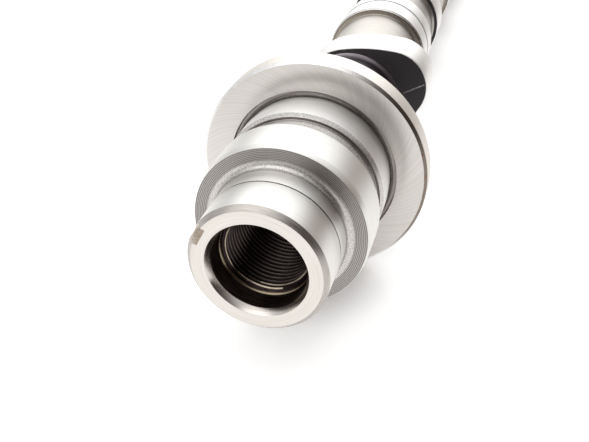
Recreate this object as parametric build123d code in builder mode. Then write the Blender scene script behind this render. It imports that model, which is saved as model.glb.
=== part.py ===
from build123d import *
from math import atan2, cos, radians, sin, sqrt, tan
import os

# Camshaft for a three-cylinder engine with one lobe per cylinder, cast and ground as one
# piece, with a threaded nose for the bolt of a camshaft phaser.
# Stations are distances behind the nose face, measured along the shaft's axis.
# Clock angles are seen from the nose: 0 is up and positive turns to the right.

# Nose
nose_radius = 17.0
nose_chamfer = 1.2
register_length = 11.3
line_width = 0.4
line_depth = 0.2
nose_length = 18.0
shoulder_fillet = 1.5

# Notch in the nose face, for the phaser's locating pin
notch_width = 5.0
notch_depth = 4.0
notch_floor_radius = 14.5
notch_clock = -63.0

# Nose bore: a ground seat at the mouth, a plain pilot and the tapping bore of an M22 x 1.5 thread
seat_radius = 12.5
seat_depth = 2.0
pilot_radius = 11.7
pilot_depth = 6.8
thread_bore_radius = 10.2
thread_length = 24.0
drill_point_angle = 118.0

# Front journal
front_journal_radius = 22.5
front_journal_length = 12.8
lead_length = 1.9
lead_drop = 0.4
journal_edge = 0.4

# Seal groove and second land behind the front journal
groove_radius = 20.5
groove_width = 6.4
groove_wall_height = 0.8
land_radius = 22.0
land_lead = 1.2
land_length = 6.6

# Grinding relief and thrust flange
relief_depth = 0.3
relief_length = 3.6
recess_radius = 23.5
recess_depth = 1.6
recess_fillet = 1.2
flange_radius = 31.7
flange_thickness = 6.8
flange_chamfer = 0.8
flange_fillet = 3.0

# Shaft, lobes and rear journals
shaft_radius = 15.6
cylinder_count = 3
cylinder_pitch = 82.0
first_lobe_gap = 42.0
lobe_width = 13.6
lobe_flare = 1.2
first_lobe_clock = 61.5
lobe_phases = (0.0, 120.0, 240.0)

# Cam profile: base circle and nose circle joined by convex flanks
base_radius = 18.0
lift = 8.0
cam_nose_radius = 12.0
flank_radius = 55.0

journal_clearance = 0.15
journal_radius = base_radius - journal_clearance
journal_length = 20.0
journal_offset = 43.4
journal_chamfer = 0.6
oil_groove_width = 0.9
oil_groove_depth = 0.5
end_journal_radius = 20.0
end_chamfer = 1.0

# Centre hole in the rear end, for grinding between centres
centre_radius = 6.0
centre_angle = 60.0

# Stations that follow from the lengths
journal_start = nose_length
journal_end = journal_start + front_journal_length
groove_end = journal_end + groove_width
land_end = groove_end + land_lead + land_length
flange_face = land_end + relief_length
recess_floor = flange_face + recess_depth
flange_back = flange_face + flange_thickness
first_lobe = flange_back + first_lobe_gap
first_journal = first_lobe + journal_offset
last_lobe = first_lobe + (cylinder_count - 1) * cylinder_pitch
end_journal = last_lobe + journal_offset
shaft_end = end_journal + journal_length
thread_start = pilot_depth + pilot_radius - thread_bore_radius
thread_end = thread_start + thread_length

# The shaft lies on the rim of its flange and on its end journal, so the axis dips rearwards
rim_contact = flange_back - flange_chamfer
end_contact = shaft_end - end_chamfer
dip = atan2(flange_radius - end_journal_radius, end_contact - rim_contact)

# The origin is the centre of the front journal's ground band
journal_centre = journal_start + (front_journal_length + lead_length - journal_edge) / 2
right = Vector(1, 0, 0)
rearward = Vector(0, cos(dip), -sin(dip))
upward = Vector(0, sin(dip), cos(dip))
nose_centre = rearward * -journal_centre
shaft_axis = Axis(nose_centre, rearward)
section = Plane(origin=nose_centre, x_dir=rearward, z_dir=right)


def cross_plane(station, clock=0.0):
    """Plane square to the shaft, with its X towards a clock angle and its Z rearwards."""
    towards = upward * cos(radians(clock)) + right * sin(radians(clock))
    return Plane(origin=nose_centre + rearward * station, x_dir=towards, z_dir=rearward)


def corner(sketch, station, radius):
    """The sketch corner that lies at a station and a radius."""
    return sketch.vertices().sort_by_distance(section.from_local_coords(Vector(station, radius)))[0]


def shaft_ring(builder, station):
    """The circular edge where the plain shaft meets the face at a station."""
    centre = nose_centre + rearward * station
    rings = builder.edges().filter_by(GeomType.CIRCLE)
    rings = rings.filter_by(lambda ring: abs(ring.radius - shaft_radius) < 0.001)
    return rings.sort_by(lambda ring: (ring.arc_center - centre).length)[0]


def cam_outline():
    """Closed outline of a lobe, with its tip on +X."""
    nose_offset = base_radius + lift - cam_nose_radius
    base_reach = flank_radius - base_radius
    nose_reach = flank_radius - cam_nose_radius
    flank_x = (base_reach**2 - nose_reach**2 + nose_offset**2) / (2 * nose_offset)
    flank_y = sqrt(base_reach**2 - flank_x**2)
    nose_centre_point = Vector(nose_offset, 0)
    for side in (1, -1):
        flank_centre = Vector(flank_x, -side * flank_y)
        base_tangent = flank_centre.normalized() * -base_radius
        nose_tangent = flank_centre + (nose_centre_point - flank_centre).normalized() * flank_radius
        flank_middle = ((base_tangent + nose_tangent) * 0.5 - flank_centre).normalized()
        ThreePointArc(base_tangent, flank_centre + flank_middle * flank_radius, nose_tangent)
    mirrored_base = Vector(base_tangent.X, -base_tangent.Y)
    mirrored_nose = Vector(nose_tangent.X, -nose_tangent.Y)
    ThreePointArc(base_tangent, Vector(-base_radius, 0), mirrored_base)
    ThreePointArc(nose_tangent, Vector(base_radius + lift, 0), mirrored_nose)


with BuildPart() as camshaft:
    # Front end: nose, journal, groove, land and thrust flange in one turned outline
    with BuildSketch(section) as front_end:
        with BuildLine():
            Polyline(
                (0, 0),
                (0, nose_radius - nose_chamfer),
                (nose_chamfer, nose_radius),
                (register_length, nose_radius),
                (register_length, nose_radius - line_depth),
                (register_length + line_width, nose_radius - line_depth),
                (register_length + line_width, nose_radius),
                (nose_length, nose_radius),
                (nose_length, front_journal_radius - lead_drop),
                (nose_length + lead_length, front_journal_radius),
                (journal_end - journal_edge, front_journal_radius),
                (journal_end, front_journal_radius - journal_edge),
                (journal_end, groove_radius),
                (groove_end, groove_radius),
                (groove_end, groove_radius + groove_wall_height),
                (groove_end + land_lead, land_radius),
                (land_end, land_radius),
                (land_end, land_radius - relief_depth),
                (recess_floor, land_radius - relief_depth),
                (recess_floor, recess_radius),
                (flange_face, recess_radius),
                (flange_face, flange_radius - flange_chamfer),
                (flange_face + flange_chamfer, flange_radius),
                (flange_back - flange_chamfer, flange_radius),
                (flange_back, flange_radius - flange_chamfer),
                (flange_back, 0),
                close=True,
            )
        make_face()
        fillet(corner(front_end, nose_length, nose_radius), shoulder_fillet)
        fillet(corner(front_end, recess_floor, land_radius - relief_depth), recess_fillet)
    revolve(axis=shaft_axis)

    # Shaft between the flange and the rear end
    with BuildSketch(cross_plane(flange_back)):
        Circle(shaft_radius)
    extrude(amount=shaft_end - flange_back)

    # Lobes, each turned to its cylinder's place in the firing order
    lobe_stations = [first_lobe + index * cylinder_pitch for index in range(cylinder_count)]
    for station, phase in zip(lobe_stations, lobe_phases):
        with BuildSketch(cross_plane(station, first_lobe_clock + phase)):
            with BuildLine():
                cam_outline()
            make_face()
        extrude(amount=lobe_width)

    # Ground journals, with an oil groove round the middle, and the larger end journal
    for index in range(cylinder_count):
        start = first_journal + index * cylinder_pitch
        finish = start + journal_length
        is_last = index == cylinder_count - 1
        radius = end_journal_radius if is_last else journal_radius
        back_chamfer = end_chamfer if is_last else journal_chamfer
        groove_front = start + (journal_length - oil_groove_width) / 2
        groove_back = groove_front + oil_groove_width
        with BuildSketch(section):
            with BuildLine():
                Polyline(
                    (start, 0),
                    (start, radius - journal_chamfer),
                    (start + journal_chamfer, radius),
                    (groove_front, radius),
                    (groove_front, radius - oil_groove_depth),
                    (groove_back, radius - oil_groove_depth),
                    (groove_back, radius),
                    (finish - back_chamfer, radius),
                    (finish, radius - back_chamfer),
                    (finish, 0),
                    close=True,
                )
            make_face()
        revolve(axis=shaft_axis)

    # Cast corners where the shaft meets the flange and the lobes
    fillet(shaft_ring(camshaft, flange_back), flange_fillet)
    flare = min(lobe_flare, (base_radius - shaft_radius) / 2)
    for station in lobe_stations:
        chamfer(shaft_ring(camshaft, station), flare)
        chamfer(shaft_ring(camshaft, station + lobe_width), flare)

    # Nose bore, from the seat to the drill's point
    drill_point = thread_bore_radius / tan(radians(drill_point_angle / 2))
    with BuildSketch(section):
        with BuildLine():
            Polyline(
                (0, 0),
                (0, seat_radius),
                (seat_depth, pilot_radius),
                (pilot_depth, pilot_radius),
                (thread_start, thread_bore_radius),
                (thread_end, thread_bore_radius),
                (thread_end + drill_point, 0),
                close=True,
            )
        make_face()
    revolve(axis=shaft_axis, mode=Mode.SUBTRACT)

    # Centre hole in the end journal
    centre_depth = centre_radius / tan(radians(centre_angle / 2))
    with BuildSketch(section):
        with BuildLine():
            Polyline((shaft_end, 0), (shaft_end, centre_radius), (shaft_end - centre_depth, 0), close=True)
        make_face()
    revolve(axis=shaft_axis, mode=Mode.SUBTRACT)

    # Locating notch, open to the nose face and to the outside
    notch_reach = nose_radius - notch_floor_radius
    with BuildSketch(cross_plane(0, notch_clock)):
        with Locations((notch_floor_radius + notch_reach, 0)):
            Rectangle(2 * notch_reach, notch_width)
    extrude(amount=notch_depth, mode=Mode.SUBTRACT)

os.makedirs("parts", exist_ok=True)
camshaft.part.label = "camshaft"
export_step(camshaft.part, "parts/camshaft.step")
print("camshaft: length", round(shaft_end, 2), "mm, volume", round(camshaft.part.volume), "mm3")
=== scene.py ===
import bpy
from math import atan2, ceil, cos, hypot, pi, radians, sin, sqrt, tan
from mathutils import Matrix, Vector


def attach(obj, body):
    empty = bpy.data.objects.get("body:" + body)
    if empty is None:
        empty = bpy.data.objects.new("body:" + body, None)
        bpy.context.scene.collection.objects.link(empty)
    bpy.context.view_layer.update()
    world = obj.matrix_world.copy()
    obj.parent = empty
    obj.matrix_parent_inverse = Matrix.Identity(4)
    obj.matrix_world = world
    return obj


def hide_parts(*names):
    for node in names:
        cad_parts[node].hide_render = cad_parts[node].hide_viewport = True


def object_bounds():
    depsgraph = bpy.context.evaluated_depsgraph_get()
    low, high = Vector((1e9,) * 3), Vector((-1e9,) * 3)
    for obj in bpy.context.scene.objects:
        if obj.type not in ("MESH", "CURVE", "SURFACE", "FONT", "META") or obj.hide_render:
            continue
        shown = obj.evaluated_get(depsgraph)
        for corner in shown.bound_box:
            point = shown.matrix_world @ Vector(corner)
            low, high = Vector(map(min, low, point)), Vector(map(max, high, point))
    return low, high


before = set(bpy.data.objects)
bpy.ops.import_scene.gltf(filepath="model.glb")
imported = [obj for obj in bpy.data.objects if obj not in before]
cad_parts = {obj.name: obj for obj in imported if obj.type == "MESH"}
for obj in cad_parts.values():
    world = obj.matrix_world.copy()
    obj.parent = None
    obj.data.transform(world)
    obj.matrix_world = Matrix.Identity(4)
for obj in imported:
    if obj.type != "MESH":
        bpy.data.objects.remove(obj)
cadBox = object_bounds()
mm = 0.001
mergeGap = 0.002 * mm               # points nearer than this are one
arcStep = radians(22)               # the turn of one step of a rounding

# Pieces are modelled upright in the shaft's own frame: X up, Y to the right as seen from
# the nose, Z rearwards from the nose face. shaftFrame then lays them down.
lie = {
    "dip": radians(2.4886),         # the axis falls towards the rear
    "journalCentre": 25.15,         # from the nose face to the origin
}
rearward = Vector((0, cos(lie["dip"]), -sin(lie["dip"])))
upward = Vector((0, sin(lie["dip"]), cos(lie["dip"])))
shaftFrame = Matrix((
    (upward.x, 1, rearward.x, 0),
    (upward.y, 0, rearward.y, -rearward.y * lie["journalCentre"] * mm),
    (upward.z, 0, rearward.z, -rearward.z * lie["journalCentre"] * mm),
    (0, 0, 0, 1),
))

# Stations behind the nose face, in mm, shared by the turned parts, the lobes and the finishes
shaft = {
    "lobeStart": 97.4, "lobePitch": 82.0, "lobeWidth": 13.6, "lobeCount": 3,
    "journalStart": 140.8, "journalLength": 20.0, "journalRadius": 17.85,
    "endRadius": 20.0, "radius": 15.6, "end": 324.8,
}


def deselectAll():
    if bpy.context.object and bpy.context.object.mode != "OBJECT":
        bpy.ops.object.mode_set(mode="OBJECT")
    bpy.ops.object.select_all(action="DESELECT")


def selectOnly(piece):
    deselectAll()
    piece.select_set(True)
    bpy.context.view_layer.objects.active = piece


def closeMesh():                    # all faces outward, and out of edit mode
    bpy.ops.mesh.select_all(action="SELECT")
    bpy.ops.mesh.normals_make_consistent(inside=False)
    bpy.ops.object.mode_set(mode="OBJECT")


def looseVertex(name, x, y, z):     # a plane shrunk to one point, left in edit mode
    deselectAll()
    bpy.ops.mesh.primitive_plane_add(size=mm)
    piece = bpy.context.object
    piece.name = name
    bpy.ops.object.mode_set(mode="EDIT")
    bpy.ops.mesh.select_all(action="SELECT")
    bpy.ops.mesh.merge(type="CENTER")
    bpy.ops.transform.translate(value=(x * mm, y * mm, z * mm))
    return piece


def drawOutline(name, corners):     # corners are (station, radius, rounding), drawn in the XZ plane
    points = [Vector((radius, station)) for station, radius, rounding in corners]
    here = points[0]
    piece = looseVertex(name, here.x, 0, here.y)
    for index in range(1, len(corners)):
        target = points[index]
        rounding = corners[index][2]
        turn = 0
        if rounding and index < len(corners) - 1:
            comingIn = (target - points[index - 1]).normalized()
            goingOut = (points[index + 1] - target).normalized()
            turn = atan2(comingIn.x * goingOut.y - comingIn.y * goingOut.x, comingIn.dot(goingOut))
            reach = rounding * tan(abs(turn) / 2)
            target = target - comingIn * reach
        step = target - here
        bpy.ops.mesh.extrude_vertices_move(TRANSFORM_OT_translate={"value": (step.x * mm, 0, step.y * mm)})
        here = target
        if turn:
            side = 1 if turn > 0 else -1
            centre = here + Vector((-comingIn.y, comingIn.x)) * rounding * side
            bpy.ops.mesh.spin(steps=max(2, ceil(abs(turn) / arcStep)), angle=turn,
                              center=(centre.x * mm, 0, centre.y * mm), axis=(0, 1, 0))
            here = points[index] + goingOut * reach
    return piece


def spinRound(steps):               # turns the outline being edited into a closed solid
    bpy.ops.mesh.select_all(action="SELECT")
    bpy.ops.mesh.spin(steps=steps, angle=2 * pi, center=(0, 0, 0), axis=(0, 0, 1))
    bpy.ops.mesh.select_all(action="SELECT")
    bpy.ops.mesh.remove_doubles(threshold=mergeGap)
    closeMesh()


def layDown(piece):                 # from the shaft's frame to its place, with nothing left on the object
    selectOnly(piece)
    piece.matrix_world = shaftFrame @ piece.matrix_world
    bpy.ops.object.transform_apply(location=True, rotation=True, scale=True)


def smoothPiece(piece, angle):
    selectOnly(piece)
    bpy.ops.object.shade_smooth_by_angle(angle=radians(angle))


def linear(code):                   # "#rrggbb" as Blender's linear colour
    parts = [int(code[i:i + 2], 16) / 255 for i in (1, 3, 5)]
    return [c / 12.92 if c <= 0.04045 else ((c + 0.055) / 1.055) ** 2.4 for c in parts] + [1]


def addNode(tree, kind, values=None, links=None, **settings):
    node = tree.nodes.new(kind)
    for key, value in settings.items():
        setattr(node, key, value)
    for key, value in (values or {}).items():
        node.inputs[key].default_value = value
    for key, source in (links or {}).items():
        tree.links.new(source, node.inputs[key])
    return node


def product(tree, first, second):
    return addNode(tree, "ShaderNodeMath", links={0: first, 1: second}, operation="MULTIPLY").outputs[0]


def mixColour(tree, factor, first, second):     # each colour is a code or a node's output
    values, links = {}, {0: factor}
    for socket, colour in ((6, first), (7, second)):
        if isinstance(colour, str):
            values[socket] = linear(colour)
        else:
            links[socket] = colour
    return addNode(tree, "ShaderNodeMix", values, links, data_type="RGBA").outputs[2]


def flattened(tree, place):         # the place without its station
    return addNode(tree, "ShaderNodeVectorMath", {1: (1, 1, 0)}, {0: place}, operation="MULTIPLY").outputs[0]


def axisDistance(tree, place):
    return addNode(tree, "ShaderNodeVectorMath", links={0: flattened(tree, place)},
                   operation="LENGTH").outputs["Value"]


def nearDirection(tree, direction, aim, core, edge):    # 1 within the core angle of a direction, 0 past the edge
    towards = addNode(tree, "ShaderNodeVectorMath", {1: Vector(aim).normalized()}, {0: direction},
                      operation="DOT_PRODUCT")
    return addNode(tree, "ShaderNodeMapRange", {"From Min": cos(edge), "From Max": cos(core)},
                   {"Value": towards.outputs["Value"]}, interpolation_type="SMOOTHSTEP").outputs["Result"]


def newMaterial(name, **values):    # an empty shader and the point's place in the shaft's frame
    material = bpy.data.materials.new(name)
    material.use_nodes = True
    tree = material.node_tree
    shader = tree.nodes["Principled BSDF"]
    for key, value in values.items():
        shader.inputs[key.replace("_", " ")].default_value = value
    back = shaftFrame.inverted()
    where = addNode(tree, "ShaderNodeTexCoord")
    place = addNode(tree, "ShaderNodeMapping", {"Location": back.translation, "Rotation": back.to_euler("XYZ")},
                    {"Vector": where.outputs["Object"]})
    return material, tree, shader, place.outputs["Vector"]


def turningLines(tree, place, spacing, streak):
    # noise stretched round the axis: lines across a cylinder lie side by side, and on a face they are rings
    split = addNode(tree, "ShaderNodeSeparateXYZ", links={0: place})
    across = addNode(tree, "ShaderNodeMath", links={0: axisDistance(tree, place), 1: split.outputs["Z"]},
                     operation="ADD")
    fine = addNode(tree, "ShaderNodeMath", {1: streak / spacing}, {0: across.outputs[0]}, operation="MULTIPLY")
    joined = addNode(tree, "ShaderNodeCombineXYZ",
                     links={0: split.outputs["X"], 1: split.outputs["Y"], 2: fine.outputs[0]})
    return addNode(tree, "ShaderNodeTexNoise", {"Scale": 1 / (streak * mm), "Detail": 3, "Roughness": 0.6},
                   {"Vector": joined.outputs[0]}).outputs["Fac"]


def grain(tree, place, size, detail=3):
    return addNode(tree, "ShaderNodeTexNoise", {"Scale": 1 / (size * mm), "Detail": detail, "Roughness": 0.65},
                   {"Vector": place}).outputs["Fac"]


def colourFrom(tree, factor, shader, dark, light, low=0.3, high=0.7):
    ramp = addNode(tree, "ShaderNodeValToRGB", links={"Fac": factor})
    for element, position, colour in zip(ramp.color_ramp.elements, (low, high), (dark, light)):
        element.position, element.color = position, linear(colour)
    tree.links.new(ramp.outputs["Color"], shader.inputs["Base Color"])
    return ramp.outputs["Color"]


def roughnessFrom(tree, factor, shader, low, high):
    spread = addNode(tree, "ShaderNodeMapRange", {"From Min": 0.3, "From Max": 0.7, "To Min": low, "To Max": high},
                     {"Value": factor})
    tree.links.new(spread.outputs["Result"], shader.inputs["Roughness"])


def bumpFrom(tree, factor, shader, height):
    bump = addNode(tree, "ShaderNodeBump", {"Strength": 1.0, "Distance": height * mm}, {"Height": factor})
    tree.links.new(bump.outputs["Normal"], shader.inputs["Normal"])


def spreadAlong(tree, shader, amount):      # fine lines round the shaft stretch a highlight along it
    shader.inputs["Anisotropic"].default_value = amount
    along = addNode(tree, "ShaderNodeCombineXYZ", {0: rearward.x, 1: rearward.y, 2: rearward.z})
    tree.links.new(along.outputs[0], shader.inputs["Tangent"])


def fromAxis(tree):                 # points away from the shaft's axis, which spreads a highlight across turned rings
    return addNode(tree, "ShaderNodeVectorMath", {1: Vector(shaftFrame.translation)},
                   {0: addNode(tree, "ShaderNodeTexCoord").outputs["Object"]}, operation="SUBTRACT").outputs[0]


# Ground cast iron: a journal off the cylindrical grinder is bright and satin, with very fine lines round it
def groundIron():
    material, tree, shader, place = newMaterial("ground cast iron", Metallic=1.0)
    lines = turningLines(tree, place, 0.25, 14)     # real lines are some 0.02 mm apart, drawn as coarse as they show
    colourFrom(tree, lines, shader, "#e2e0dc", "#efeeea")
    roughnessFrom(tree, lines, shader, 0.33, 0.40)
    bumpFrom(tree, lines, shader, 0.0003)
    spreadAlong(tree, shader, 0.85)
    return material


# Lapped cast iron: the cams, middle journals and seal land, pale and silky, with no line to see
def lappedIron():
    material, tree, shader, place = newMaterial("lapped cast iron", Metallic=1.0)
    lines = turningLines(tree, place, 0.25, 14)
    colourFrom(tree, lines, shader, "#efeeec", "#faf9f7")
    roughnessFrom(tree, lines, shader, 0.46, 0.54)
    bumpFrom(tree, lines, shader, 0.0003)
    spreadAlong(tree, shader, 0.6)
    return material


# Face-ground cast iron: a cup wheel leaves curved scratches across the face, and a duller, warmer grey
def faceGroundIron():
    material, tree, shader, place = newMaterial("face-ground cast iron", Metallic=1.0, Anisotropic=0.75)
    turnPerMetre = 35.0             # radians that a scratch turns as it runs outwards
    sweep = addNode(tree, "ShaderNodeMath", {1: turnPerMetre}, {0: axisDistance(tree, place)}, operation="MULTIPLY")
    along = addNode(tree, "ShaderNodeVectorMath", links={0: flattened(tree, place)}, operation="NORMALIZE")
    curved = addNode(tree, "ShaderNodeVectorRotate", links={"Vector": along.outputs[0], "Angle": sweep.outputs[0]},
                     rotation_type="Z_AXIS")
    scratches = addNode(tree, "ShaderNodeTexNoise", {"Scale": 62.0, "Detail": 4, "Roughness": 0.7},
                        {"Vector": curved.outputs[0]}).outputs["Fac"]    # about 0.4 mm apart at the face's middle
    colourFrom(tree, scratches, shader, "#d2cdc7", "#eae7e3")
    roughnessFrom(tree, scratches, shader, 0.33, 0.42)
    bumpFrom(tree, scratches, shader, 0.0012)
    # the scratches run outwards, so a highlight spreads round the face
    around = addNode(tree, "ShaderNodeVectorMath", {0: rearward}, {1: fromAxis(tree)}, operation="CROSS_PRODUCT")
    tree.links.new(around.outputs[0], shader.inputs["Tangent"])
    return material


# Faced cast iron: the nose face, cut in one light pass, smooth and creamy
def facedIron():
    material, tree, shader, place = newMaterial("fine-faced cast iron", Metallic=1.0)
    rings = turningLines(tree, place, 0.3, 12)
    colourFrom(tree, rings, shader, "#d9d4ce", "#e8e4de")
    roughnessFrom(tree, rings, shader, 0.3, 0.36)
    bumpFrom(tree, rings, shader, 0.001)
    return material


# Turned cast iron, light: the tool tears the grain, so edges and fillets sparkle a little
def turnedIron():
    material, tree, shader, place = newMaterial("turned cast iron", Metallic=1.0)
    specks = grain(tree, place, 0.3)
    colourFrom(tree, specks, shader, "#a8a4a0", "#e2dfdc", 0.35, 0.62)
    roughnessFrom(tree, specks, shader, 0.28, 0.42)
    bumpFrom(tree, specks, shader, 0.014)
    return material


# Ground rim: the flange's outside, creamier than the journals, with fine rust coming through
def rimIron():
    material, tree, shader, place = newMaterial("ground rim", Metallic=1.0)
    specks = grain(tree, place, 0.9)
    colourFrom(tree, specks, shader, "#bfb4a6", "#e6e1da", 0.22, 0.42)
    roughnessFrom(tree, specks, shader, 0.4, 0.5)
    spreadAlong(tree, shader, 0.6)
    return material


# Turned edge of the flange: bright torn grain, with grey-brown painted shade on its right side, and specks of rust
# there
def paintedShadeEdge():
    material, tree, shader, place = newMaterial("cast iron edge with painted shade", Metallic=1.0)
    specks = grain(tree, place, 0.3)
    litGrain = colourFrom(tree, specks, shader, "#d2cfcc", "#fbfaf9", 0.35, 0.62)
    shadeClock = radians(78)        # the painted shade lies round this clock angle
    towards = addNode(tree, "ShaderNodeVectorMath", {1: (cos(shadeClock), sin(shadeClock), 0)},
                      {0: flattened(tree, place)}, operation="DOT_PRODUCT")
    # 1 on the right side of the edge, where the painted shade and the rust specks go
    side = addNode(tree, "ShaderNodeMapRange", {"From Min": 13 * mm, "From Max": 26 * mm},
                   {"Value": towards.outputs["Value"]}, interpolation_type="SMOOTHSTEP").outputs["Result"]
    shadedRight = mixColour(tree, side, litGrain, "#857b73")
    rustAt = addNode(tree, "ShaderNodeMapRange", {"From Min": 0.66, "From Max": 0.72},
                     {"Value": grain(tree, place, 1.3, 1)})
    rusty = product(tree, rustAt.outputs["Result"], side)
    tree.links.new(mixColour(tree, rusty, shadedRight, "#7a5236"), shader.inputs["Base Color"])
    roughnessFrom(tree, specks, shader, 0.28, 0.42)
    bumpFrom(tree, specks, shader, 0.014)
    return material


# Turned chamfer: a narrow form-tool cut, smooth, with a brownish grey film left by coolant
def chamferedIron():
    material, tree, shader, place = newMaterial("chamfered cast iron", Metallic=1.0)
    rings = turningLines(tree, place, 0.3, 4)
    colourFrom(tree, rings, shader, "#a6a09a", "#cac5c0")
    roughnessFrom(tree, rings, shader, 0.3, 0.4)
    bumpFrom(tree, rings, shader, 0.004)
    return material


# Turned cast iron, dark: a face cut at a coarse feed, whose grooves stand side by side as rings
def coarseTurnedIron():
    material, tree, shader, place = newMaterial("coarse turned cast iron", Metallic=1.0)
    grooveStep = 0.42 * mm          # the wave's own step is pi / 10
    feed = addNode(tree, "ShaderNodeTexWave",
                   {"Scale": pi / 10 / grooveStep, "Distortion": 1.6, "Detail": 2.0, "Detail Scale": 1.5},
                   {"Vector": place}, wave_type="RINGS", rings_direction="Z").outputs["Fac"]
    specks = grain(tree, place, 0.4)
    torn = addNode(tree, "ShaderNodeMath", {1: 0.7}, {0: specks, 2: feed}, operation="MULTIPLY_ADD")
    both = addNode(tree, "ShaderNodeMath", {1: 0.6}, {0: torn.outputs[0]}, operation="MULTIPLY").outputs[0]
    colourFrom(tree, both, shader, "#5f5959", "#c6c2be", 0.1, 0.9)
    roughnessFrom(tree, specks, shader, 0.36, 0.48)
    bumpFrom(tree, both, shader, 0.012)
    shader.inputs["Anisotropic"].default_value = 0.7
    tree.links.new(fromAxis(tree), shader.inputs["Tangent"])
    return material


# Plunge-cut undercut: smooth, with a mid grey that is painted shade in the grooves and the recess it lines
def undercutIron():
    material, tree, shader, place = newMaterial("undercut cast iron", Metallic=1.0)
    rings = turningLines(tree, place, 0.35, 5)
    colourFrom(tree, rings, shader, "#7c7673", "#aaa4a0")
    roughnessFrom(tree, rings, shader, 0.28, 0.4)
    bumpFrom(tree, rings, shader, 0.006)
    return material


# Machined grey iron: the shaft between the bearings, finely turned and left slightly oiled
def machinedShaft():
    material, tree, shader, place = newMaterial("machined grey iron", Metallic=1.0)
    lines = turningLines(tree, place, 0.35, 9)
    colourFrom(tree, lines, shader, "#b9b5ae", "#cbc8c2")
    roughnessFrom(tree, lines, shader, 0.36, 0.44)
    bumpFrom(tree, lines, shader, 0.004)
    spreadAlong(tree, shader, 0.6)
    return material


# Browned iron: the face at a journal's front, tinted by old oil
def brownedIron():
    material, tree, shader, place = newMaterial("oil-tinted iron", Metallic=1.0)
    film = turningLines(tree, place, 0.4, 8)
    colourFrom(tree, film, shader, "#958b80", "#bab1a6")
    roughnessFrom(tree, film, shader, 0.36, 0.5)
    return material


# Painted chamfer shadow: a thin dark brown ring at the outer edge of a journal's front face, under its chamfer
def chamferShadowRing():
    material, tree, shader, place = newMaterial("iron with painted chamfer shadow", Metallic=1.0)
    film = turningLines(tree, place, 0.4, 6)
    colourFrom(tree, film, shader, "#3d332c", "#6e6054")
    roughnessFrom(tree, film, shader, 0.35, 0.5)
    return material


# As-cast iron with a black phosphate coat: nearly black with a breath of purple, slightly grainy
def castSkin():
    material, tree, shader, place = newMaterial("black phosphated casting", Metallic=0.0)
    pits = grain(tree, place, 0.7, 4)
    colourFrom(tree, pits, shader, "#110b11", "#251d25")
    roughnessFrom(tree, pits, shader, 0.36, 0.5)
    bumpFrom(tree, pits, shader, 0.05)
    return material


# The same black coat over the turned neck, rubbed to a soft sheen
def rubbedSkin():
    material, tree, shader, place = newMaterial("rubbed black phosphate", Metallic=0.6)
    rubs = turningLines(tree, place, 0.8, 8)
    colourFrom(tree, rubs, shader, "#3f383c", "#585055")
    roughnessFrom(tree, rubs, shader, 0.26, 0.38)
    bumpFrom(tree, rubs, shader, 0.01)
    spreadAlong(tree, shader, 0.6)
    return material


# The fillet between neck and lobe: its lighter purplish grey is a painted sheen, on top of the real reflection of its
# metallic coat
def sheenFillet():
    material, tree, shader, place = newMaterial("black fillet with painted sheen", Metallic=0.8)
    rubs = turningLines(tree, place, 0.6, 8)
    colourFrom(tree, rubs, shader, "#6a6268", "#a0989e")
    roughnessFrom(tree, rubs, shader, 0.28, 0.4)
    spreadAlong(tree, shader, 0.5)
    return material


# Oil groove: grooved after grinding, a matt blue-grey line
def oilGroove():
    material, tree, shader, place = newMaterial("grooved cast iron", Metallic=1.0)
    rings = turningLines(tree, place, 0.3, 6)
    colourFrom(tree, rings, shader, "#96989b", "#b9bbbe")
    roughnessFrom(tree, rings, shader, 0.45, 0.55)
    return material


# Parting flash: the thin raised seam of the mould, worn bright along its top
def wornSeam():
    material, tree, shader, place = newMaterial("worn casting seam", Metallic=0.6)
    rubs = grain(tree, place, 0.6)
    colourFrom(tree, rubs, shader, "#6c666a", "#bdb7bc")
    roughnessFrom(tree, rubs, shader, 0.35, 0.5)
    return material


# Milled cast iron: the notch, browned a little by cutting oil
def milledNotch():
    material, tree, shader, place = newMaterial("milled cast iron", Metallic=1.0)
    specks = grain(tree, place, 0.6)
    colourFrom(tree, specks, shader, "#c9c0b6", "#f7f1ea")
    roughnessFrom(tree, specks, shader, 0.4, 0.55)
    bumpFrom(tree, specks, shader, 0.05)
    return material


# Reamed seat: the cone at the mouth, burnished by the bolt, mirror-like with faint rings
def reamedSeat():
    material, tree, shader, place = newMaterial("burnished cast iron", Metallic=1.0)
    rings = turningLines(tree, place, 0.3, 10)
    colourFrom(tree, rings, shader, "#c6c0b9", "#e3dfda")
    roughnessFrom(tree, rings, shader, 0.16, 0.26)
    bumpFrom(tree, rings, shader, 0.004)
    return material


# Bored cast iron: the pilot bore, dark with cutting oil
def boredIron():
    material, tree, shader, place = newMaterial("bored cast iron", Metallic=1.0)
    film = turningLines(tree, place, 0.5, 6)
    colourFrom(tree, film, shader, "#5f5350", "#9b8d87")
    roughnessFrom(tree, film, shader, 0.3, 0.42)
    return material


# Thread flanks: tapped iron under a black film of oil
def tappedFlank():
    material, tree, shader, place = newMaterial("oiled thread", Metallic=1.0)
    film = grain(tree, place, 2.5)
    colourFrom(tree, film, shader, "#1d1719", "#332a2b")
    roughnessFrom(tree, film, shader, 0.24, 0.34)
    return material


# Thread crests: a painted glint on the front edge of each turn, over the light that the strip really catches
def brightGlintCrest():
    material, tree, shader, place = newMaterial("thread crest with painted glint", Metallic=1.0)
    film = grain(tree, place, 2.0)
    colourFrom(tree, film, shader, "#857a69", "#b0a593")
    roughnessFrom(tree, film, shader, 0.18, 0.3)
    return material


# Thread crests further in: the same painted glint, dimmer as painted shade deeper in the bore
def dimGlintCrest():
    material, tree, shader, place = newMaterial("thread crest with dim painted glint", Metallic=1.0)
    film = grain(tree, place, 2.0)
    colourFrom(tree, film, shader, "#3a3432", "#564f49")
    roughnessFrom(tree, film, shader, 0.2, 0.32)
    return material


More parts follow.
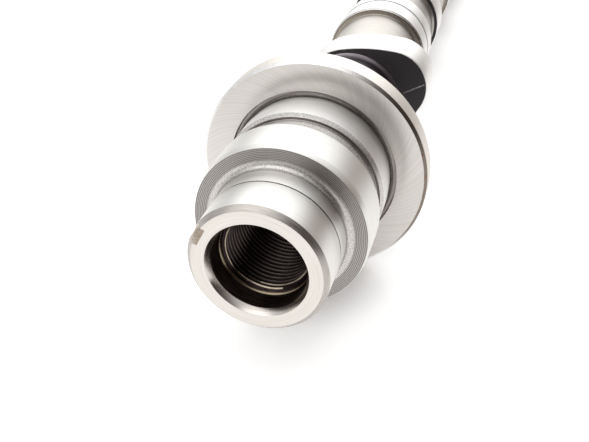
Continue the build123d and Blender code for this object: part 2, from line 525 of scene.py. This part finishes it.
# Lead-in cone of the thread: fine tool lines, alternately bright and brown
def countersunkIron():
    material, tree, shader, place = newMaterial("countersunk cast iron", Metallic=1.0)
    lines = turningLines(tree, place, 0.22, 9)
    colourFrom(tree, lines, shader, "#1a1412", "#6b5f4c", 0.42, 0.68)
    roughnessFrom(tree, lines, shader, 0.22, 0.34)
    return material


finishes = {
    "ground": groundIron(), "lapped": lappedIron(), "faceGround": faceGroundIron(), "faced": facedIron(),
    "turned": turnedIron(), "chamfer": chamferedIron(), "rim": rimIron(), "coarse": coarseTurnedIron(),
    "undercut": undercutIron(), "machined": machinedShaft(), "chamferShadow": chamferShadowRing(), "browned": brownedIron(),
    "shadedRight": paintedShadeEdge(), "cast": castSkin(), "rubbed": rubbedSkin(), "filletSheen": sheenFillet(),
    "groove": oilGroove(), "seam": wornSeam(), "notch": milledNotch(), "seat": reamedSeat(), "bore": boredIron(),
    "flank": tappedFlank(), "crestGlint": brightGlintCrest(), "dimGlint": dimGlintCrest(), "leadIn": countersunkIron(),
}
finishOrder = list(finishes)
print("scene: materials made")


def addFinishes(piece):
    for name in finishOrder:
        piece.data.materials.append(finishes[name])


def giveFinishes(piece, choose):    # choose takes a face's station, radius and normal
    addFinishes(piece)
    for face in piece.data.polygons:
        middle = face.center
        name = choose(middle.z / mm, hypot(middle.x, middle.y) / mm, face.normal)
        face.material_index = finishOrder.index(name)


# The turned body: nose, journals, flange and shaft, spun from one outline
turnedBody = {
    "steps": 240,                   # round the shaft
    "edge": 0.12, "lineEdge": 0.06, "grooveEdge": 0.08,     # broken edges
    "toolNose": 0.3, "shaftCorner": 0.4, "grooveCorner": 0.15,      # rounding that a tool leaves in a corner
    "noseRadius": 17.0, "noseChamfer": 1.2, "lineAt": 11.3, "lineWidth": 0.4, "lineDepth": 0.2,
    "seatRadius": 12.5, "seatDepth": 1.75, "pilotRadius": 11.55, "pilotDepth": 6.8, "glint": 0.3,
    "threadRoot": 11.02, "threadEnd": 32.3, "drillAngle": radians(59),
    "shoulder": 18.0, "shoulderFillet": 1.5, "tornEdge": 0.4,
    "frontRadius": 22.5, "leadEnd": 19.9, "leadDrop": 0.4,
    "grooveStart": 30.8, "grooveEnd": 37.2, "grooveRadius": 20.5, "wallTop": 21.3,
    "landStart": 38.4, "landEnd": 45.0, "landRadius": 22.0, "reliefRadius": 21.7,
    "recessFloor": 50.2, "recessFillet": 1.2, "recessRadius": 23.5,
    "flangeFace": 48.6, "flangeBack": 55.4, "flangeRadius": 31.7, "flangeChamfer": 0.8, "flangeFillet": 3.0,
    "lobeRoot": 1.98, "lobeFlare": 1.9, "lobeInset": 0.3,       # the fillet's foot and how far it lies inside the lobe
    "journalChamfer": 0.6, "oilGrooveWidth": 1.6, "oilGrooveDepth": 0.2, "chamferShadowWidth": 0.25,
    "endChamfer": 1.0, "centreRadius": 6.0, "centreAngle": radians(30),
}


def bodyCorners():                  # each corner: station, radius, rounding, and the finish of the run up to it
    t, edge, s = turnedBody, turnedBody["edge"], shaft
    nose, front, land, rim = t["noseRadius"], t["frontRadius"], t["landRadius"], t["flangeRadius"]
    line, lineEnd, face, back = t["lineAt"], t["lineAt"] + t["lineWidth"], t["flangeFace"], t["flangeBack"]
    corners = [
        (t["threadEnd"] + t["threadRoot"] / tan(t["drillAngle"]), 0, 0, "bore"),
        (t["threadEnd"], t["threadRoot"], 0, "bore"),
        (t["pilotDepth"] + t["pilotRadius"] - t["threadRoot"], t["threadRoot"], edge, "flank"),
        (t["pilotDepth"] + t["glint"], t["pilotRadius"] - t["glint"], 0, "leadIn"),
        # a thin ring of the lead-in cone takes the crest's painted glint
        (t["pilotDepth"] + t["glint"] / 2, t["pilotRadius"] - t["glint"] / 2, 0, "crestGlint"),
        (t["pilotDepth"], t["pilotRadius"], edge, "leadIn"),
        (t["seatDepth"], t["pilotRadius"], 0.05, "bore"),
        (0, t["seatRadius"], edge, "seat"),
        (0, nose - t["noseChamfer"], edge, "faced"),
        (t["noseChamfer"], nose, edge, "chamfer"),
        (line, nose, t["lineEdge"], "ground"), (line, nose - t["lineDepth"], 0, "undercut"),
        (lineEnd, nose - t["lineDepth"], 0, "undercut"), (lineEnd, nose, t["lineEdge"], "undercut"),
        (t["shoulder"] - t["shoulderFillet"], nose, 0, "ground"),
        (t["shoulder"], nose, t["shoulderFillet"], "turned"),
        (t["shoulder"], nose + t["shoulderFillet"] + t["tornEdge"], 0, "turned"),
        (t["shoulder"], front - t["leadDrop"], edge, "coarse"),
        (t["leadEnd"], front, t["toolNose"], "ground"),
        (t["grooveStart"] - t["leadDrop"], front, edge, "ground"),
        (t["grooveStart"], front - t["leadDrop"], edge, "chamfer"),
        (t["grooveStart"], t["grooveRadius"], t["toolNose"], "undercut"),
        (t["grooveEnd"], t["grooveRadius"], 0.2, "turned"),
        (t["grooveEnd"], t["wallTop"], edge, "undercut"),
        (t["landStart"], land, edge, "turned"), (t["landEnd"], land, 0.1, "lapped"),
        (t["landEnd"], t["reliefRadius"], 0.1, "lapped"),
        (t["recessFloor"] - t["recessFillet"], t["reliefRadius"], 0, "lapped"),
        (t["recessFloor"], t["reliefRadius"], t["recessFillet"], "turned"),
        (t["recessFloor"], t["recessRadius"], t["toolNose"], "undercut"),
        (face, t["recessRadius"], edge, "undercut"),
        (face, rim - t["flangeChamfer"], edge, "faceGround"),
        # the flange's chamfer, with painted shade on its right side
        (face + t["flangeChamfer"], rim, edge, "shadedRight"),
        (back - edge, rim, edge, "rim"), (back, rim - edge, edge, "rim"),
        (back, s["radius"] + t["flangeFillet"], 0, "faceGround"),
        (back, s["radius"], t["flangeFillet"], "rubbed"),
    ]
    shaftFinish, rootFinish = "rubbed", "filletSheen"    # the neck is black, and the shaft behind the first lobe machined
    for index in range(s["lobeCount"]):
        lobe = s["lobeStart"] + index * s["lobePitch"]
        start = s["journalStart"] + index * s["lobePitch"]
        middle = start + s["journalLength"] / 2
        last = index == s["lobeCount"] - 1
        radius = s["endRadius"] if last else s["journalRadius"]
        chamferFoot, half, floor = radius - t["journalChamfer"], t["oilGrooveWidth"] / 2, radius - t["oilGrooveDepth"]
        root, flare = s["radius"] + t["lobeRoot"], t["lobeFlare"]
        frontFoot, rearFoot = lobe + t["lobeInset"], lobe + s["lobeWidth"] - t["lobeInset"]
        corners += [
            # at the first lobe the root fillet takes a painted sheen
            (frontFoot - flare, s["radius"], 0, shaftFinish), (frontFoot, s["radius"], flare, rootFinish),
            (frontFoot, root, 0, rootFinish),
            (rearFoot, root, 0, "cast"), (rearFoot, s["radius"], flare, "machined"),
            (start, s["radius"], t["shaftCorner"], "machined"), (start, chamferFoot - t["chamferShadowWidth"], 0, "browned"),
            # a thin dark ring under the chamfer: painted chamfer shadow
            (start, chamferFoot, edge, "chamferShadow"), (start + t["journalChamfer"], radius, edge, "turned"),
            (middle - half, radius, t["grooveEdge"], "lapped"),
            (middle - half / 2, floor, t["grooveCorner"], "groove"),
            (middle + half / 2, floor, t["grooveCorner"], "groove"),
            (middle + half, radius, t["grooveEdge"], "groove"),
        ]
        shaftFinish = rootFinish = "machined"
        if last:
            end = s["end"]
            corners += [(end - t["endChamfer"], radius, edge, "ground"),
                        (end, radius - t["endChamfer"], edge, "chamfer"), (end, t["centreRadius"], edge, "faced"),
                        (end - t["centreRadius"] / tan(t["centreAngle"]), 0, 0, "seat")]
        else:
            finish = start + s["journalLength"]
            corners += [(finish - t["journalChamfer"], radius, edge, "lapped"),
                        (finish, chamferFoot, edge, "turned"), (finish, s["radius"], t["shaftCorner"], "turned")]
    return corners


bodyOutline = bodyCorners()
finishSeen = {}                     # rings of faces share one answer


def bodyFinish(station, radius, normal):    # the finish of the outline's nearest run
    key = (round(station, 2), round(radius, 2))
    if key not in finishSeen:
        here, best = Vector(key), None
        for before, after in zip(bodyOutline, bodyOutline[1:]):
            start, run = Vector(before[:2]), Vector(after[:2]) - Vector(before[:2])
            share = min(1, max(0, (here - start).dot(run) / run.length_squared))
            gap = (here - start - run * share).length
            if best is None or gap < best[0] - 0.001:
                best = (gap, after[3])
        finishSeen[key] = best[1]
    return finishSeen[key]


camshaftBody = drawOutline("camshaftBody", [corner[:3] for corner in bodyOutline])
spinRound(turnedBody["steps"])
print("scene: turned body spun,", len(camshaftBody.data.vertices), "points")

# The notch in the nose face is cut by a milled block, open to the face and to the outside
notch = {"width": 5.0, "depth": 4.0, "floorRadius": 14.5, "clock": radians(-63), "reach": 6.0}
deselectAll()
bpy.ops.mesh.primitive_cube_add(size=1)
cutter = bpy.context.object
cutter.scale = (notch["reach"] * mm, notch["width"] * mm, 2 * notch["depth"] * mm)
cutter.location = ((notch["floorRadius"] + notch["reach"] / 2) * mm, 0, 0)
bpy.ops.object.transform_apply(location=True, rotation=False, scale=True)
cutter.rotation_euler = (0, 0, notch["clock"])
bpy.ops.object.transform_apply(location=False, rotation=True, scale=False)
giveFinishes(camshaftBody, bodyFinish)
addFinishes(cutter)
for face in cutter.data.polygons:
    face.material_index = finishOrder.index("notch")
selectOnly(camshaftBody)
cut = camshaftBody.modifiers.new("notch", "BOOLEAN")
cut.operation, cut.object, cut.solver = "DIFFERENCE", cutter, "EXACT"
bpy.ops.object.modifier_apply(modifier=cut.name)
bpy.data.objects.remove(cutter, do_unlink=True)
print("scene: notch milled")

# The thread, M22 x 1.5: a ridge wound inside the bore
thread = {
    "pitch": 1.5, "turns": 16, "steps": 96,
    "start": 7.3, "crestRadius": 10.19, "rootRadius": 11.04, "buried": 11.3,
    "crestHalf": 0.13, "stripHalf": 0.27, "stripRadius": 10.42, "rootHalf": 0.655,
    "brightGlintTo": 9.4,                # the painted crest glint is brightest on the first turn and a half
    "buriedBy": 0.03,               # how far the first turn lies under the lead-in cone
}


def windThread():
    t = thread
    section = [
        (t["buried"], -t["rootHalf"]), (t["rootRadius"], -t["rootHalf"]), (t["stripRadius"], -t["stripHalf"]),
        (t["crestRadius"], -t["crestHalf"]), (t["crestRadius"], t["crestHalf"]),
        (t["rootRadius"], t["rootHalf"]), (t["buried"], t["rootHalf"]),
    ]
    ridge = looseVertex("noseThread", section[0][0], 0, t["start"] + section[0][1])
    for before, after in zip(section, section[1:]):
        step = ((after[0] - before[0]) * mm, 0, (after[1] - before[1]) * mm)
        bpy.ops.mesh.extrude_vertices_move(TRANSFORM_OT_translate={"value": step})
    bpy.ops.mesh.select_all(action="SELECT")
    bpy.ops.mesh.edge_face_add()
    bpy.ops.object.mode_set(mode="OBJECT")
    wind = ridge.modifiers.new("wind", "SCREW")
    wind.axis, wind.steps, wind.render_steps = "Z", t["steps"], t["steps"]
    wind.iterations, wind.screw_offset, wind.angle = t["turns"], t["pitch"] * mm, 2 * pi
    bpy.ops.object.modifier_apply(modifier=wind.name)
    for vertex in ridge.data.vertices:      # the first turn rises out of the lead-in cone
        cone = turnedBody["pilotRadius"] + turnedBody["pilotDepth"] + t["buriedBy"] - vertex.co.z / mm
        radius = hypot(vertex.co.x, vertex.co.y) / mm
        if radius < cone:
            vertex.co.x, vertex.co.y = vertex.co.x * cone / radius, vertex.co.y * cone / radius
    bpy.ops.object.mode_set(mode="EDIT")
    bpy.ops.mesh.select_all(action="SELECT")
    bpy.ops.mesh.remove_doubles(threshold=mergeGap)
    bpy.ops.mesh.fill_holes(sides=8)
    closeMesh()
    return ridge


noseThread = windThread()


def threadFinish(station, radius, normal):  # only the front edge of each crest gets a painted glint
    if normal.z > -0.3 or radius > thread["stripRadius"]:
        return "flank"
    return "crestGlint" if station < thread["brightGlintTo"] else "dimGlint"


giveFinishes(noseThread, threadFinish)
print("scene: thread wound,", len(noseThread.data.vertices), "points")

# The lobes: one cam drawn from four tangent arcs, then a copy for each cylinder
lobe = {
    "baseRadius": 18.0, "lift": 8.0, "noseRadius": 12.0, "flankRadius": 55.0,
    "edge": 0.3, "firstClock": 61.5, "phases": (0, 120, 240),
    "flankSteps": 12, "noseSteps": 40, "baseSteps": 96,
}


def drawCam(name):
    base, tip, flank = lobe["baseRadius"], lobe["noseRadius"], lobe["flankRadius"]
    offset = base + lobe["lift"] - tip
    flankX = ((flank - base) ** 2 - (flank - tip) ** 2 + offset ** 2) / (2 * offset)
    flankY = -sqrt((flank - base) ** 2 - flankX ** 2)
    baseTurn = atan2(-flankY, -flankX)              # direction of the tangent point on the base circle
    noseTurn = atan2(-flankY, offset - flankX)      # and of the one on the nose circle
    cam = looseVertex(name, base * cos(baseTurn), base * sin(baseTurn), 0)
    arcs = (
        (noseTurn - baseTurn, (flankX, flankY), lobe["flankSteps"]),
        (-2 * noseTurn, (offset, 0), lobe["noseSteps"]),
        (noseTurn - baseTurn, (flankX, -flankY), lobe["flankSteps"]),
        (-2 * (pi - baseTurn), (0, 0), lobe["baseSteps"]),
    )
    for angle, centre, steps in arcs:
        bpy.ops.mesh.spin(steps=steps, angle=-angle, center=(centre[0] * mm, centre[1] * mm, 0), axis=(0, 0, 1))
    bpy.ops.mesh.select_all(action="SELECT")
    bpy.ops.mesh.remove_doubles(threshold=0.005 * mm)
    bpy.ops.mesh.edge_face_add()
    bpy.ops.mesh.extrude_region_move(TRANSFORM_OT_translate={"value": (0, 0, shaft["lobeWidth"] * mm)})
    closeMesh()
    soften = cam.modifiers.new("edge", "BEVEL")
    soften.width, soften.segments = lobe["edge"] * mm, 2
    soften.limit_method, soften.angle_limit = "ANGLE", radians(60)
    bpy.ops.object.modifier_apply(modifier=soften.name)
    return cam


def camFinish(station, radius, normal):
    return "cast" if abs(normal.z) > 0.95 else "lapped"


firstCam = drawCam("camLobe1")
giveFinishes(firstCam, camFinish)
cams = [firstCam]
for index in range(1, shaft["lobeCount"]):
    selectOnly(firstCam)
    bpy.ops.object.duplicate(linked=False)
    bpy.context.object.name = "camLobe" + str(index + 1)
    cams.append(bpy.context.object)
for index, cam in enumerate(cams):
    turn = Matrix.Rotation(radians(lobe["firstClock"] + lobe["phases"][index]), 4, "Z")
    cam.matrix_world = Matrix.Translation((0, 0, (shaft["lobeStart"] + index * shaft["lobePitch"]) * mm)) @ turn
print("scene: lobes drawn")

# The mould's parting seam, a thin raised line across the first lobe's front face
seam = {
    "innerRadius": 17.6, "innerClock": radians(72.9), "outerRadius": 24.9, "outerClock": radians(69.2),
    "width": 0.42, "height": 0.15, "edge": 0.05,
}


def drawSeam():
    inner = Vector((cos(seam["innerClock"]), sin(seam["innerClock"]))) * seam["innerRadius"]
    outer = Vector((cos(seam["outerClock"]), sin(seam["outerClock"]))) * seam["outerRadius"]
    along = (outer - inner).normalized()
    side = Vector((-along.y, along.x)) * seam["width"] / 2
    start, step = inner - side, outer - inner
    strip = looseVertex("partingSeam", start.x, start.y, shaft["lobeStart"] - seam["height"])
    bpy.ops.mesh.extrude_vertices_move(TRANSFORM_OT_translate={"value": (step.x * mm, step.y * mm, 0)})
    bpy.ops.mesh.select_all(action="SELECT")
    bpy.ops.mesh.extrude_edges_move(TRANSFORM_OT_translate={"value": (side.x * 2 * mm, side.y * 2 * mm, 0)})
    bpy.ops.mesh.select_all(action="SELECT")
    bpy.ops.mesh.extrude_region_move(TRANSFORM_OT_translate={"value": (0, 0, 2 * seam["height"] * mm)})
    closeMesh()
    soften = strip.modifiers.new("soften", "BEVEL")
    soften.width, soften.segments = seam["edge"] * mm, 2
    bpy.ops.object.modifier_apply(modifier=soften.name)
    return strip


partingSeam = drawSeam()
giveFinishes(partingSeam, lambda station, radius, normal: "seam")
print("scene: parting seam drawn")

sharpAngle = 28                     # edges that turn more than this, in degrees, stay sharp
for piece in (camshaftBody, noseThread, *cams, partingSeam):
    layDown(piece)
    smoothPiece(piece, sharpAngle)
    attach(piece, "root")
    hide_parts("camshaft")
print("scene: pieces laid down")

# The studio: a pale floor and a white room, with a bright patch behind the shaft, another on the ceiling, a
# greyer doorway to the right and a dark backdrop to the front right. Each has the angle of its core and its edge.
studio = {
    "floorSize": 4.0, "floorColour": "#e6e4e3", "floorRoughness": 0.9,
    "floorGlow": 0.66, "shadowReach": 26 * mm, "shadowFull": 0.28, "shadowNone": 0.62,
    "roomStrength": 0.88, "cameraSide": 0.55,       # white walls, dimmer behind the camera
    "farSide": (-0.2, 0.9, 0.3), "farCore": radians(60), "farEdge": radians(135),
    "roomLight": 0.55,              # what the walls give as light
    "bright": (-0.08, 0.86, 0.50), "brightCore": radians(12), "brightEdge": radians(42), "brightStrength": 1.4,
    "ceiling": (-0.23, -0.55, 0.80), "ceilingCore": radians(10), "ceilingEdge": radians(42), "ceilingStrength": 1.15,
    "doorway": (0.88, 0.47, 0.02), "doorwayCore": radians(14), "doorwayEdge": radians(46), "doorwayColour": "#d0c7c0",
    "backdrop": (0.75, -0.66, 0.0), "backdropCore": radians(25), "backdropEdge": radians(78),
    "backdropColour": "#564842",
    "cameraPlace": (45.95, -151.116, 109.841), "lens": 46.757, "sensor": 36.0, "clipStart": 0.005,
    "ahead": (-0.2287, 0.78343, -0.57780), "aside": (0.96035, 0.27864, -0.00241),
}
lowest = cadBox[0].z


def shownWhite(tree):               # 1 for rays that show the background, straight or in a reflection
    path = addNode(tree, "ShaderNodeLightPath")
    seen = addNode(tree, "ShaderNodeMath",
                   links={0: path.outputs["Is Camera Ray"], 1: path.outputs["Is Glossy Ray"]},
                   operation="ADD", use_clamp=True)
    return addNode(tree, "ShaderNodeMath", links={0: seen.outputs[0], 1: path.outputs["Is Transmission Ray"]},
                   operation="ADD", use_clamp=True).outputs[0]


def floorPaint():                   # matt white board that glows a little to the camera, so its shadow stays; the glow fades by ambient occlusion near the shaft, a painted contact shadow
    material = bpy.data.materials.new("matt white board")
    material.use_nodes = True
    tree = material.node_tree
    shader = tree.nodes["Principled BSDF"]
    shader.inputs["Base Color"].default_value = linear(studio["floorColour"])
    shader.inputs["Roughness"].default_value = studio["floorRoughness"]
    clear = addNode(tree, "ShaderNodeAmbientOcclusion", {"Distance": studio["shadowReach"]}, samples=8)
    kept = addNode(tree, "ShaderNodeMapRange",
                   {"From Min": studio["shadowFull"], "From Max": studio["shadowNone"], "To Max": studio["floorGlow"]},
                   {"Value": clear.outputs["AO"]})
    shader.inputs["Emission Color"].default_value = linear("#ffffff")
    tree.links.new(product(tree, kept.outputs["Result"], shownWhite(tree)), shader.inputs["Emission Strength"])
    return material


deselectAll()
bpy.ops.mesh.primitive_plane_add(size=studio["floorSize"], location=(0, 0, lowest))
studioFloor = bpy.context.object
studioFloor.name = "studioFloor"
studioFloor.data.materials.append(floorPaint())

world = bpy.data.worlds.new("studio")
world.use_nodes = True
bpy.context.scene.world = world
walls = world.node_tree
sky = walls.nodes["Background"]
direction = addNode(walls, "ShaderNodeTexCoord").outputs["Generated"]
isCamera = addNode(walls, "ShaderNodeLightPath").outputs["Is Camera Ray"]
notSeen = addNode(walls, "ShaderNodeMath", {0: 1.0}, {1: isCamera}, operation="SUBTRACT").outputs[0]


def inPart(name):                   # 1 in that part of the room
    return nearDirection(walls, direction, studio[name], studio[name + "Core"], studio[name + "Edge"])


far = nearDirection(walls, direction, studio["farSide"], studio["farCore"], studio["farEdge"])
lit = addNode(walls, "ShaderNodeMapRange", {"To Min": studio["cameraSide"], "To Max": studio["roomStrength"]},
              {"Value": far}).outputs["Result"]
for name in ("bright", "ceiling"):
    lit = addNode(walls, "ShaderNodeMath", {1: studio[name + "Strength"]}, {0: inPart(name), 2: lit},
                  operation="MULTIPLY_ADD").outputs[0]
mirrored = addNode(walls, "ShaderNodeMix", {2: studio["roomLight"]}, {0: shownWhite(walls), 3: lit},
                   data_type="FLOAT")
shown = addNode(walls, "ShaderNodeMix", {2: 1.0}, {0: notSeen, 3: mirrored.outputs[0]}, data_type="FLOAT")
walls.links.new(shown.outputs[0], sky.inputs["Strength"])
paint = "#ffffff"
for name in ("doorway", "backdrop"):
    paint = mixColour(walls, product(walls, inPart(name), notSeen), paint, studio[name + "Colour"])
walls.links.new(paint, sky.inputs["Color"])

lamps = (
    {"name": "softBoxAbove", "place": (-0.05, 0.3, 1.0), "aim": (0, 0.1, 0), "size": 1.0, "power": 3.0},
    {"name": "softBoxLeft", "place": (-0.7, -0.1, 0.45), "aim": (0, 0, 0), "size": 0.5, "power": 0.8},
)
for values in lamps:
    bpy.ops.object.light_add(type="AREA", location=values["place"])
    lamp = bpy.context.object
    lamp.name = values["name"]
    lamp.data.shape, lamp.data.size, lamp.data.energy = "SQUARE", values["size"], values["power"]
    lamp.rotation_euler = (Vector(values["aim"]) - Vector(values["place"])).to_track_quat("-Z", "Y").to_euler()
    lamp.visible_glossy = False     # metal shows the soft patch of the wall, not the lamps

ahead, aside = Vector(studio["ahead"]).normalized(), Vector(studio["aside"]).normalized()
above = aside.cross(ahead)
bpy.ops.object.camera_add(location=Vector(studio["cameraPlace"]) * mm)
camera = bpy.context.object
camera.name = "studioCamera"
camera.rotation_euler = Matrix((aside, above, -ahead)).transposed().to_euler()
camera.data.lens, camera.data.sensor_width = studio["lens"], studio["sensor"]
camera.data.clip_start = studio["clipStart"]
bpy.context.scene.camera = camera
bpy.context.scene.view_settings.view_transform = "Standard"
print("scene: studio lit")
